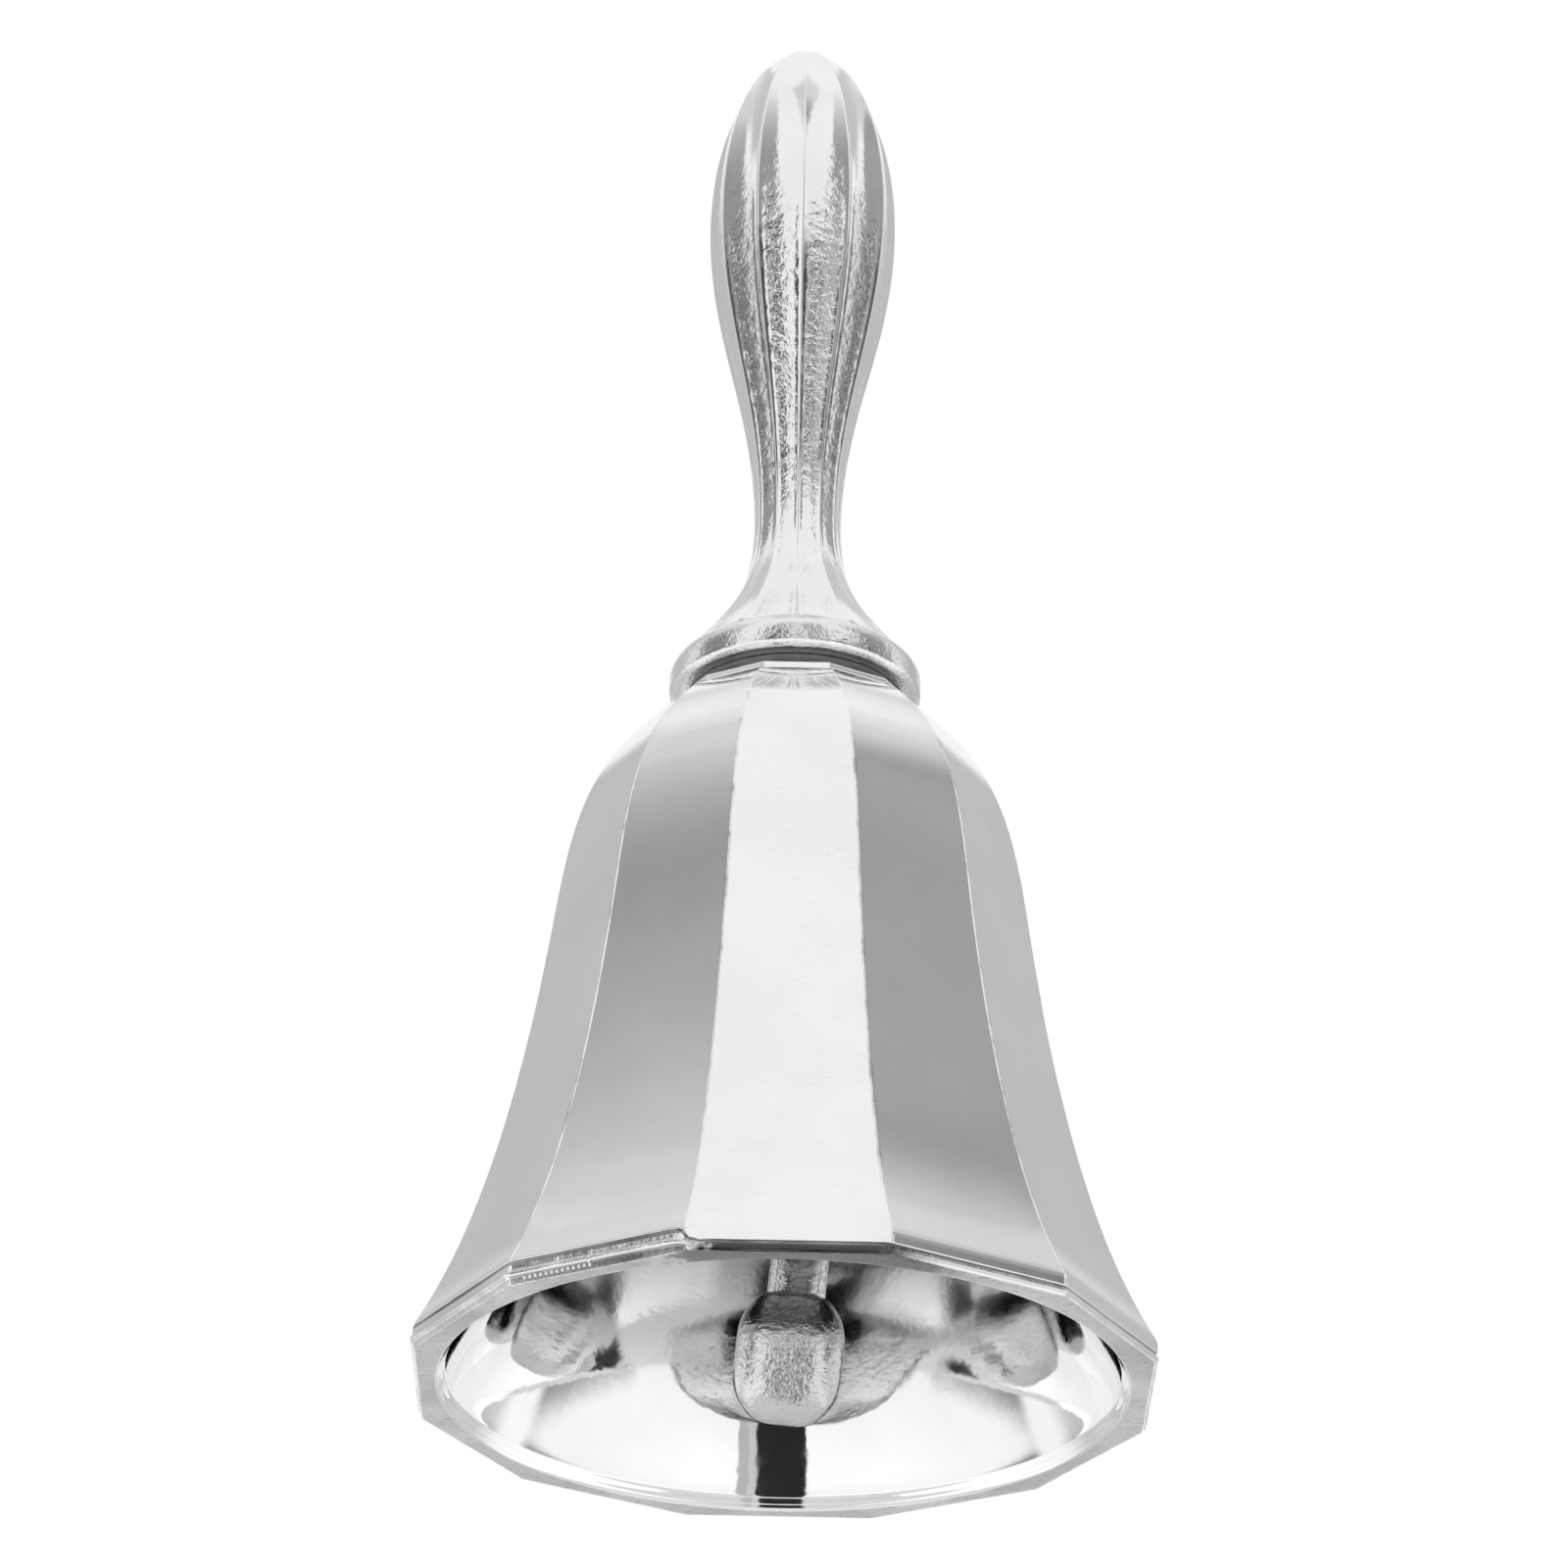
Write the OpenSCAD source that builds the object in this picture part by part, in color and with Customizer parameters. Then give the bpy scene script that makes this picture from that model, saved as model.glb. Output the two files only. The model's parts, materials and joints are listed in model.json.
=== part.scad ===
// Cast hand bell with twelve flat panels, a fluted handle and a clapper that hangs on a wire link.
// The bell stands on its mouth: the origin is the centre of the mouth, +Z is up, front is -Y.

/* [Bell shell] */
// Radius over the corners of the mouth
mouth_r = 31.4; // [31.2:0.1:31.8]
// Height of the shell, from the mouth to its flat top
shell_h = 62.2; // [62.2:0.1:62.6]
// Radius of the round mouth opening
mouth_bore_r = 28.3; // [27.8:0.1:28.5]
// Thickness of the crown under the handle
crown_t = 2.6; // [2.2:0.1:3]
// Number of flat panels round the bell
panels = 12; // [12:12:12]

/* [Handle] */
// Height of the whole bell with its handle
total_h = 130.4; // [128:0.2:135]
// Radius of the bulb, over its ridges
bulb_r = 8.3; // [7.5:0.1:9]
// Smallest radius of the neck, over its ridges
neck_r = 3.8; // [3.6:0.1:4.4]
// Radius of the round collar at the foot
collar_r = 10.9; // [10.6:0.1:11.2]
// Height of the gap between the crown and the collar
gap_h = 1.35; // [1:0.05:1.6]

/* [Hanger] */
// Radius of the threaded stud
stud_r = 2.5; // [2.3:0.1:2.5]
// Width of the crown nut across its flats
nut_w = 8; // [8:0.5:9]
// Height of the crown nut
nut_h = 2.7; // [2.4:0.1:2.8]
// Thickness of the washer
washer_t = 0.8; // [0.6:0.1:0.9]
// Radius of the link's wire
wire_r = 0.7; // [0.6:0.05:0.75]

/* [Clapper] */
// Distance from the stud's eye to the middle of the clapper's head
clapper_l = 46.9; // [45:0.1:47]
// Lean of the clapper towards the back wall at rest, in degrees
lean = 23.4; // [15:0.1:23.4]
// Lean of the link to the right at rest, in degrees
link_side = 2.2; // [0:0.1:4]
// Turn of the clapper back to the left on the link, in degrees
clapper_turn = 7.7; // [0:0.1:12]
// Width of the head
head_w = 9.4; // [8:0.1:9.6]
// Depth of the head, front to back
head_d = 8.2; // [7:0.1:8.2]
// Height of the head
head_h = 11.6; // [10:0.1:11.6]
// Width of the tongue
tongue_w = 5; // [4.8:0.1:5.2]
// Thickness of the tongue
tongue_t = 1.8; // [1.4:0.1:2]

/* [Hidden] */
$fn = 64;
CURVE_STEPS = 12;
RUN_GAP = 0.05;

panel_angle = 360 / panels;
corner_to_flat = cos(panel_angle / 2);
big = 80;

// Shell heights and radii
band_h = 1.9;
crown_edge_r = 11.6;
crown_edge_z = shell_h - 0.9;
top_r = 10.8;
cavity_top_z = shell_h - crown_t;
cavity_top_r = 8.4;

// Handle heights
collar_z = shell_h + gap_h;
collar_top_z = collar_z + 2.8;
collar_lip_r = 0.4;
collar_shoulder_r = 1.2;
collar_neck_r = 9.2;
flute_foot_z = collar_z + 3.9;
neck_z = collar_z + 17;
bulb_z = total_h - 19.2;
ring_r = 9.4;
stud_top_z = collar_z + 13;

// Hanger stack under the crown, from the top down
washer_r = 5.5;
nut_z = cavity_top_z - washer_t - nut_h;
eye_plate_t = 1.6;
eye_plate_r = 2.6;
eye_hole_r = 1.15;
eye_z = nut_z - 2.9;

// Link: a loop at each end, the lower one turned a quarter round
loop_r = 2.4;
tongue_hole_r = 1.5;
tongue_eye_up = 3.4;
link_l = clapper_l - head_h / 2 - tongue_eye_up;
seat_depth = 4;
head_edge_r = 3.2;
head_plan_r = 2.8;

// A point of a cubic curve between p[0] and p[3]
function curve_point(p, t) =
    pow(1 - t, 3) * p[0] + 3 * pow(1 - t, 2) * t * p[1] + 3 * (1 - t) * t * t * p[2] + pow(t, 3) * p[3];

// The points of a cubic curve, without its first
function curve(p, steps = CURVE_STEPS) = [for (i = [1:steps]) curve_point(p, i / steps)];

// An arc's points round a centre, from one angle to another
function arc(centre, r, from, to, steps = 6) =
    [for (i = [0:steps]) centre + r * [cos(from + (to - from) * i / steps), sin(from + (to - from) * i / steps)]];

// A rectangle centred on the origin with round corners, as points
function round_rect(w, h, r) = concat(
    arc([w / 2 - r, h / 2 - r], r, 0, 90), arc([r - w / 2, h / 2 - r], r, 90, 180),
    arc([r - w / 2, r - h / 2], r, 180, 270), arc([w / 2 - r, r - h / 2], r, 270, 360));

// Outside of the shell as [corner radius, height], from the mouth to the top
function shell_outline() = concat(
    [[mouth_r - 0.6, 0], [mouth_r - 0.1, 0.3], [mouth_r, 0.8], [mouth_r - 0.1, 1.3], [mouth_r - 0.4, band_h]],
    curve([[mouth_r - 0.4, band_h], [30.6, 4.1], [24.5, 12], [20.7, 39.7]]),
    curve([[20.7, 39.7], [19.4, 49], [18.2, 55.2], [crown_edge_r, crown_edge_z]]),
    [[top_r + 0.2, crown_edge_z + 0.1], [top_r, shell_h]]);

// Inside of the shell as [radius, height]
function cavity_outline() = concat(
    [[mouth_bore_r + 0.1, -1], [mouth_bore_r, 0], [mouth_bore_r - 0.3, 0.8]],
    curve([[mouth_bore_r - 0.3, 0.8], [27, 3.4], [21.5, 12.5], [17.9, 39.5]]),
    curve([[17.9, 39.5], [16.8, 48.5], [15.8, 53.6], [cavity_top_r, cavity_top_z]]));

// Handle above its collar as [corner radius, height], from the foot to the tip
function handle_outline() = concat(
    [[9.5, flute_foot_z - 1.6], [9.4, flute_foot_z]],
    curve([[9.4, flute_foot_z], [7.4, flute_foot_z + 2.6], [neck_r, neck_z - 7], [neck_r, neck_z]]),
    curve([[neck_r, neck_z], [neck_r, neck_z + 11.9], [bulb_r, bulb_z - 12], [bulb_r, bulb_z]]),
    curve([[bulb_r, bulb_z], [bulb_r, bulb_z + 9], [5.6, total_h - 2.4], [0, total_h]]));

// A body of flat panels: at each height, the flats lie at the outline's radius from the axis
module panelled(outline, turn) {
    side = [for (p = outline) [p[0] * corner_to_flat, p[1]]];
    whole = concat(side, [for (i = [len(side) - 1:-1:0]) [-side[i][0], side[i][1]]]);
    intersection_for (k = [0:panels / 2 - 1])
        rotate([90, 0, turn + k * panel_angle])
            linear_extrude(height = big, center = true)
                polygon(whole);
}

module bell_shell() {
    color("silver")
        difference() {
            panelled(shell_outline(), 0);
            rotate_extrude($fn = 96)
                polygon(concat([[0, -1]], cavity_outline(), [[0, cavity_top_z]]));
            translate([0, 0, cavity_top_z - 1])
                cylinder(r = stud_r + RUN_GAP, h = crown_t + 2);
        }
}

module neck_ring() {
    color("gray")
        translate([0, 0, shell_h])
            difference() {
                cylinder(r = ring_r, h = gap_h);
                translate([0, 0, -1])
                    cylinder(r = stud_r + RUN_GAP, h = gap_h + 2);
            }
}

// The collar: a round disc with a soft lower edge and a rounded shoulder
module collar() {
    rotate_extrude($fn = 96)
        polygon(concat(
            [[0, collar_z], [collar_r - 0.5, collar_z]],
            arc([collar_r - collar_lip_r, collar_z + 0.5], collar_lip_r, -60, 0),
            arc([collar_r - collar_shoulder_r, collar_top_z - 1], collar_shoulder_r, 0, 70),
            [[collar_neck_r, flute_foot_z - 0.6], [0, flute_foot_z - 0.6]]));
}

module handle() {
    color("silver")
        difference() {
            union() {
                panelled(handle_outline(), panel_angle / 2);
                collar();
            }
            translate([0, 0, collar_z - 1])
                cylinder(r = stud_r + RUN_GAP, h = stud_top_z - collar_z + 2);
        }
}

module hanger_stud() {
    color("darkgray")
        difference() {
            union() {
                translate([0, 0, eye_z + 2])
                    cylinder(r = stud_r, h = stud_top_z - eye_z - 2);
                translate([0, 0, eye_z])
                    rotate([0, 90, 0])
                        cylinder(r = eye_plate_r, h = eye_plate_t, center = true);
            }
            translate([0, 0, eye_z])
                rotate([0, 90, 0])
                    cylinder(r = eye_hole_r, h = 3 * stud_r, center = true);
        }
}

module crown_washer() {
    color("gray")
        translate([0, 0, cavity_top_z - washer_t])
            difference() {
                cylinder(r = washer_r, h = washer_t);
                translate([0, 0, -1])
                    cylinder(r = stud_r + RUN_GAP, h = washer_t + 2);
            }
}

module crown_nut() {
    color("darkgray")
        translate([0, 0, nut_z])
            difference() {
                cylinder(r = nut_w / sqrt(3), h = nut_h, $fn = 6);
                translate([0, 0, -1])
                    cylinder(r = stud_r + RUN_GAP, h = nut_h + 2);
            }
}

// Places a piece that hangs from the stud's eye: down along the link is -Z there
module hung() {
    translate([0, 0, eye_z])
        rotate([lean, 0, 0])
            rotate([0, -link_side, 0])
                children();
}

// One loop of wire whose bend passes through the origin, with the rest of it towards -Z
module wire_loop() {
    translate([0, 0, -loop_r])
        rotate([90, 0, 0])
            rotate_extrude($fn = 48)
                translate([loop_r, 0])
                    circle(r = wire_r, $fn = 24);
}

module clapper_link() {
    color("darkgray")
        hung() {
            wire_loop();
            translate([0, 0, -link_l])
                rotate([180, 0, 90])
                    wire_loop();
            translate([0, 0, 2 * loop_r - link_l])
                cylinder(r = wire_r, h = link_l - 4 * loop_r, $fn = 24);
        }
}

// Places a piece of the clapper with the middle of its head at the origin
module on_clapper() {
    hung()
        translate([0, 0, -link_l])
            rotate([0, clapper_turn, 0])
                translate([0, 0, link_l - clapper_l])
                    children();
}

module clapper_tongue() {
    eye_up = head_h / 2 + tongue_eye_up;
    foot_z = head_h / 2 - seat_depth;
    color("silver")
        on_clapper()
            difference() {
                union() {
                    translate([-tongue_w / 2, -tongue_t / 2, foot_z])
                        cube([tongue_w, tongue_t, eye_up - foot_z]);
                    translate([0, 0, eye_up])
                        rotate([90, 0, 0])
                            cylinder(r = tongue_w / 2, h = tongue_t, center = true);
                }
                translate([0, 0, eye_up])
                    rotate([90, 0, 0])
                        cylinder(r = tongue_hole_r, h = 2 * tongue_t, center = true);
            }
}

// The head is rounded in its front, side and top views, and slotted for the tongue
module clapper_head() {
    color("silver")
        on_clapper()
            difference() {
                intersection() {
                    rotate([90, 0, 0])
                        linear_extrude(height = 2 * head_d, center = true)
                            polygon(round_rect(head_w, head_h, head_edge_r));
                    rotate([90, 0, 90])
                        linear_extrude(height = 2 * head_w, center = true)
                            polygon(round_rect(head_d, head_h, head_edge_r));
                    linear_extrude(height = 2 * head_h, center = true)
                        polygon(round_rect(head_w, head_d, head_plan_r));
                }
                translate([-tongue_w / 2, -tongue_t / 2, head_h / 2 - seat_depth])
                    cube([tongue_w, tongue_t, seat_depth + 1]);
            }
}

bell_shell();
handle();
neck_ring();
hanger_stud();
crown_washer();
crown_nut();
clapper_link();
clapper_tongue();
clapper_head();
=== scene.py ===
"""A silver hand bell with twelve panels, a fluted handle and a clapper on a link, in a pale studio."""

import json
import math

import bpy
from mathutils import Matrix, Vector, noise


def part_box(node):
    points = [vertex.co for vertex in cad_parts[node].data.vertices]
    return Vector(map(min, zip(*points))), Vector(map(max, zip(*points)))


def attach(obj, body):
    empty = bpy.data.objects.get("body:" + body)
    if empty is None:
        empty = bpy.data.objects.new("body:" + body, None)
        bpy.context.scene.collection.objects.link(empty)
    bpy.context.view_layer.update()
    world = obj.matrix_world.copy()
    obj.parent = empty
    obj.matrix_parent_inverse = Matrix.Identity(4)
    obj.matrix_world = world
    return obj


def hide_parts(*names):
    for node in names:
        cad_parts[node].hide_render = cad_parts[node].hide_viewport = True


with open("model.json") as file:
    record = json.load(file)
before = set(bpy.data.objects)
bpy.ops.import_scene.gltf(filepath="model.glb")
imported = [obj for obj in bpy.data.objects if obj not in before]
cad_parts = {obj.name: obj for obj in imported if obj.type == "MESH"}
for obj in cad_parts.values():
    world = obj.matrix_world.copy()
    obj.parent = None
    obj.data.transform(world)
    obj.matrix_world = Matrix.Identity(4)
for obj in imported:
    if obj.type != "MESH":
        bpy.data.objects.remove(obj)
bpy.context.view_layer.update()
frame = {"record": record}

# Metres in a millimetre.
MM = 0.001

# ---------------------------------------- sizes, in millimetres
PANELS = 12
PANEL_ANGLE = math.tau / PANELS
CORNER_TO_FLAT = math.cos(PANEL_ANGLE / 2)

_, shell_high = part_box("bell_shell")
SHELL_TOP = shell_high[2] / MM
MOUTH_CORNER_R = shell_high[0] / MM / CORNER_TO_FLAT
handle_low, handle_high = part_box("handle")
COLLAR_Z = handle_low[2] / MM
COLLAR_R = handle_high[0] / MM
TIP_Z = handle_high[2] / MM

CROWN_T = 2.6
WALL_TOP = SHELL_TOP - CROWN_T
CROWN_EDGE_Z = SHELL_TOP - 0.9
CROWN_EDGE_R = 11.6
# The corner radius and the height at which the outside's two curves meet.
WAIST = (20.7, 39.7)
PANEL_FOOT_Z = 2.1
# About the middle of the rim.
RIM_R = 30.0
STUD_R = 2.5
HOLE_R = STUD_R + 0.05
ARRIS_SOFT = 0.22
BULB_R = 8.3
NECK_R = 3.8
FLUTE_FOOT_R = 9.42
FLUTE_FOOT_Z = COLLAR_Z + 3.9
NECK_Z = COLLAR_Z + 17
BULB_Z = TIP_Z - 19.2
FLUTE_DEPTH = 0.03

JOINTS = {joint["name"]: joint for joint in frame["record"]["behaviour"]["joints"]}
EYE = Vector(JOINTS["link_swing"]["pos_m"]) / MM
LOWER_EYE = Vector(JOINTS["clapper_sway"]["pos_m"]) / MM
SWAY_AXIS = Vector(JOINTS["clapper_sway"]["axis"])
LOOP_R = 2.4
LOOP_FOOT = 2 * LOOP_R + 0.9
WIRE_R = 0.7
# The striking block's width, depth and height.
HEAD = Vector((9.4, 8.2, 11.6))
HEAD_BELOW_EYE = 9.2
CLAPPER_TURN = math.radians(7.7)
TONGUE_W = 5.0
TONGUE_T = 1.8
TONGUE_HOLE_R = 1.5
TONGUE_SEAT = 4.0


# ---------------------------------------- small geometry helpers
def unit(value):
    """A value kept between 0 and 1."""
    return min(1.0, max(0.0, value))


def curve(a, b, c, d, steps):
    """Points of a cubic curve from a to d, without a."""
    points = []
    for i in range(1, steps + 1):
        t = i / steps
        s = 1 - t
        weights = (s**3, 3 * s * s * t, 3 * s * t * t, t**3)
        points.append(tuple(sum(w * p[k] for w, p in zip(weights, (a, b, c, d))) for k in (0, 1)))
    return points


def arc(centre, radius, start, end, steps):
    """Points of an arc in a profile, angles in degrees."""
    angles = [math.radians(start + (end - start) * i / steps) for i in range(steps + 1)]
    return [(centre[0] + radius * math.cos(a), centre[1] + radius * math.sin(a)) for a in angles]


def straight(a, b, steps):
    """Points from a to b, without a."""
    return [tuple(a[k] + (b[k] - a[k]) * i / steps for k in (0, 1)) for i in range(1, steps + 1)]


def make_piece(name, points, faces, materials, face_materials=None, place=None):
    """A mesh object from points in millimetres, smooth shaded."""
    mesh = bpy.data.meshes.new(name)
    matrix = place or Matrix.Identity(4)
    mesh.from_pydata([(matrix @ Vector(p)) * MM for p in points], [], faces)
    for material in materials:
        mesh.materials.append(material)
    for index, face in enumerate(mesh.polygons):
        face.use_smooth = True
        if face_materials:
            face.material_index = face_materials[index]
    mesh.validate()
    piece = bpy.data.objects.new(name, mesh)
    bpy.context.scene.collection.objects.link(piece)
    return piece


def circle(radius, z, sides):
    """Points round a level circle."""
    turns = [math.tau * k / sides for k in range(sides)]
    return [(radius * math.cos(turn), radius * math.sin(turn), z) for turn in turns]


def skin(rings, closed=False):
    """Points and quads of a surface through rings of equally many points.

    closed joins the last ring to the first."""
    count = len(rings[0])
    points = [p for ring in rings for p in ring]
    faces = []
    last = len(rings) if closed else len(rings) - 1
    for i in range(last):
        a, b = i * count, ((i + 1) % len(rings)) * count
        for j in range(count):
            k = (j + 1) % count
            faces.append((a + j, a + k, b + k, b + j))
    return points, faces


def capped(rings):
    """A surface through rings, closed by a flat face at each end."""
    points, faces = skin(rings)
    count = len(rings[0])
    faces.append(tuple(range(count))[::-1])
    faces.append(tuple(range(len(points) - count, len(points))))
    return points, faces


def merge(*parts):
    """Joins several (points, faces) surfaces into one."""
    points, faces = [], []
    for part_points, part_faces in parts:
        offset = len(points)
        points += part_points
        faces += [tuple(i + offset for i in face) for face in part_faces]
    return points, faces


def tube(path, radius, sides):
    """A wire along a path, with rounded ends."""
    path = [Vector(p) for p in path]
    tangents = []
    for i in range(len(path)):
        step = path[min(i + 1, len(path) - 1)] - path[max(i - 1, 0)]
        tangents.append(step.normalized())
    normal = tangents[0].orthogonal().normalized()
    frames = []
    for point, tangent in zip(path, tangents):
        normal = (normal - tangent * normal.dot(tangent)).normalized()
        frames.append((point, tangent, normal.copy()))

    def rounded_end(point, tangent, side, way):
        """The stations of one end, from its tip inwards. way is 1 where the tangent points out of the end."""
        stations = []
        for step in range(5, 0, -1):
            a = math.pi / 2 * step / 5
            out = point + tangent * way * radius * math.sin(a)
            stations.append((out, tangent, side, radius * math.cos(a) + 0.01))
        return stations

    stations = rounded_end(*frames[0], -1)
    stations += [(point, tangent, side, radius) for point, tangent, side in frames]
    stations += rounded_end(*frames[-1], 1)[::-1]
    rings = []
    for point, tangent, side, r in stations:
        other = tangent.cross(side)
        rings.append([point + side * x + other * y for x, y, _ in circle(r, 0.0, sides)])
    return capped(rings)


# ---------------------------------------- materials
class Nodes:
    """Adds shader nodes to one tree and joins them."""

    def __init__(self, tree):
        self.tree = tree

    def add(self, kind, inputs=None, **settings):
        node = self.tree.nodes.new(kind)
        for key, value in settings.items():
            setattr(node, key, value)
        for key, value in (inputs or {}).items():
            if isinstance(value, bpy.types.NodeSocket):
                self.tree.links.new(value, node.inputs[key])
            else:
                node.inputs[key].default_value = value
        return node

    def math(self, operation, a, b=0.0, c=0.0):
        return self.add("ShaderNodeMath", {0: a, 1: b, 2: c}, operation=operation).outputs[0]

    def times(self, a, b):
        return self.math("MULTIPLY", a, b)

    def step(self, value, low, high, to_low=0.0, to_high=1.0):
        """Goes softly from to_low at low to to_high at high."""
        inputs = {"Value": value, "From Min": low, "From Max": high, "To Min": to_low, "To Max": to_high}
        node = self.add("ShaderNodeMapRange", inputs, interpolation_type="SMOOTHSTEP")
        return node.outputs["Result"]

    def band(self, value, first, last, soft_first, soft_last):
        """1 between first and last and 0 outside, with a soft edge at each."""
        rising = self.step(value, first - soft_first, first + soft_first)
        falling = self.step(value, last - soft_last, last + soft_last, 1.0, 0.0)
        return self.times(rising, falling)

    def noise(self, vector, scale, detail=2.0, roughness=0.5):
        inputs = {"Vector": vector, "Scale": scale, "Detail": detail, "Roughness": roughness}
        return self.add("ShaderNodeTexNoise", inputs).outputs["Fac"]

    def turn(self, x, y):
        """The angle round the bell, in radians, from the front and growing to the right."""
        return self.math("ARCTAN2", x, self.times(y, -1.0))

    def ridge(self, x, y, shift):
        """How far round a point is from the nearest panel edge, as a part of a panel.

        shift moves the edges round by that part of a panel."""
        panel = self.math("MULTIPLY_ADD", self.turn(x, y), 1 / PANEL_ANGLE, PANELS + shift)
        return self.math("ABSOLUTE", self.math("SUBTRACT", self.math("FRACT", panel), 0.5))

    def mix(self, factor, a, b):
        """a where factor is 0, b where it is 1."""
        return self.math("MULTIPLY_ADD", factor, self.math("SUBTRACT", b, a), a)


def bumped(n, normal, height, distance):
    """The normal with one more bump, distance high in mm, over the ones before it."""
    inputs = {"Height": height, "Distance": distance * MM, "Strength": 1.0}
    if normal:
        inputs["Normal"] = normal
    return n.add("ShaderNodeBump", inputs).outputs[0]


def grained(n, where, x, y, z, grain, flutes):
    """The normal of a cast or ground skin. metal() says what grain and flutes are."""
    normal = None
    if flutes:
        off_ridges = n.step(n.ridge(x, y, 0.5), 0.06, 0.2, 1 - flutes, 1.0)
        off_neck = n.step(z, (NECK_Z - 3) * MM, (NECK_Z + 8) * MM, 0.3, 1.0)
    for size, height, *fade in grain:
        bumps = n.noise(where, 1.0 / (size * MM), 3.0, 0.55)
        if fade:
            bumps = n.times(bumps, n.step(z, fade[0] * MM, fade[1] * MM))
        if fade and flutes:
            bumps = n.times(n.times(bumps, off_neck), off_ridges)
        normal = bumped(n, normal, bumps, height)
    return normal


def scratch_lines(n, where, level, size, length):
    """1 on fine slanting lines and 0 between them."""
    inputs = {"Vector": where, "Rotation": (0.5, 0.3, 0.8), "Scale": (60 / length, 900, 200)}
    turned_where = n.add("ShaderNodeMapping", inputs).outputs[0]
    return n.step(n.noise(turned_where, 9.0 / size, 2.0, 0.7), level, level + 0.08)


def worn_lines(n, where, x, y):
    """1 in patches along the edges between the panels, 0 away from them."""
    radius = n.math("SQRT", n.math("MULTIPLY_ADD", x, x, n.times(y, y)))
    away = n.times(n.times(n.ridge(x, y, 0.0), radius), PANEL_ANGLE)
    patchy = n.step(n.noise(where, 260.0, 4.0, 0.7), 0.45, 0.7)
    return n.times(n.step(away, 0.06 * MM, 0.26 * MM, 1.0, 0.0), patchy)


def ragged_stretch(n, where, x, y, first, last):
    """1 between two turns round the bell, in degrees, with ragged ends."""
    stray = n.math("SUBTRACT", n.noise(where, 600.0, 3.0, 0.7), 0.5)
    turn = n.math("MULTIPLY_ADD", stray, 0.25, n.turn(x, y))
    return n.band(turn, math.radians(first), math.radians(last), 0.03, 0.1)


def metal(name, base, rough, grain=(), scratches=None, tarnish=0.06, deep_shade=None, flutes=0.0,
          worn_edges=0.0, dark_reflection=None):
    """A metal with uneven gloss, fine scratches and a cast or ground grain. Lengths are in mm.

    grain lists bumps as (size, height), or (size, height, z, z) where they fade in from one z to another.
    scratches is (depth, noise level where they start, size, length): fine lines, which are also darker.
    tarnish is how much darker the metal's clouds and scratches are, from 0 to 1.
    deep_shade is (z, z, share, more): painted shade inside the bell. From one z up to another the shade goes
    down to that share of itself, and the roughness grows by that much more.
    flutes is how far the fading grain clears off the ridges between the flutes, from 0 to 1.
    worn_edges is how much darker the edges between the panels are, from 0 to 1.
    dark_reflection is (first turn, last turn, shade): a painted dark reflection, a darker stretch round the
    bell, in degrees."""
    material = bpy.data.materials.new(name)
    material.use_nodes = True
    tree = material.node_tree
    tree.nodes.clear()
    n = Nodes(tree)
    where = n.add("ShaderNodeTexCoord").outputs["Object"]
    x, y, z = n.add("ShaderNodeSeparateXYZ", {0: where}).outputs

    shade = n.step(n.noise(where, 120.0, 3.0), 0.3, 0.75, base * (1 - tarnish), base)
    smear = n.noise(where, 420.0, 4.0, 0.6)
    gloss = n.step(smear, 0.25, 0.8, max(rough - GLOSS_SPREAD, 0.0), rough + GLOSS_SPREAD)
    normal = grained(n, where, x, y, z, grain, flutes)
    # Painted shade: the metal darkens from one height up to another, deep inside the bell.
    if deep_shade:
        shade_up_inside = n.step(z, deep_shade[0] * MM, deep_shade[1] * MM)
        shade = n.times(shade, n.mix(shade_up_inside, 1.0, deep_shade[2]))
        gloss = n.math("ADD", gloss, n.times(shade_up_inside, deep_shade[3]))
    if scratches:
        lines = scratch_lines(n, where, *scratches[1:])
        shade = n.times(shade, n.mix(lines, 1.0, 1 - tarnish))
        normal = bumped(n, normal, lines, scratches[0])
    if worn_edges:
        edge = worn_lines(n, where, x, y)
        shade = n.times(shade, n.mix(edge, 1.0, 1 - worn_edges))
        gloss = n.math("MULTIPLY_ADD", edge, 0.12, gloss)
    # Painted reflection: a dark stretch across the front, standing in for the dark below the bell that the
    # rim mirrors.
    if dark_reflection:
        shade = n.times(shade, n.mix(ragged_stretch(n, where, x, y, *dark_reflection[:2]), 1.0, dark_reflection[2]))

    colour = n.add("ShaderNodeCombineColor", {0: shade, 1: shade, 2: shade}).outputs[0]
    shader = n.add("ShaderNodeBsdfPrincipled", {"Base Color": colour, "Roughness": gloss, "Metallic": 1.0})
    tree.links.new(normal, shader.inputs["Normal"])
    out = n.add("ShaderNodeOutputMaterial")
    tree.links.new(shader.outputs[0], out.inputs["Surface"])
    return material


def plain(name, level, rough):
    """An even grey material for the studio."""
    material = bpy.data.materials.new(name)
    material.use_nodes = True
    shader = material.node_tree.nodes["Principled BSDF"]
    shader.inputs["Base Color"].default_value = (level, level, level, 1)
    shader.inputs["Roughness"].default_value = rough
    return material


# How far a metal's roughness strays to either side.
GLOSS_SPREAD = 0.03
# The heights from which and to which the handle's grain fades in, downwards.
BULB_GRAIN = (119, 104)
POLISHED = metal("silver_panels", 0.93, 0.03, grain=[(3.2, 0.006)], scratches=(0.0004, 0.62, 1, 1),
                 tarnish=0.05, worn_edges=0.45)
# The inside carries painted shade, darker from 7 mm up to 22 mm.
INSIDE = metal("silver_inside", 0.95, 0.05, grain=[(4.0, 0.014), (0.5, 0.012, 6, 30)],
               deep_shade=(7, 22, 0.7, 0.12))
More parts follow.
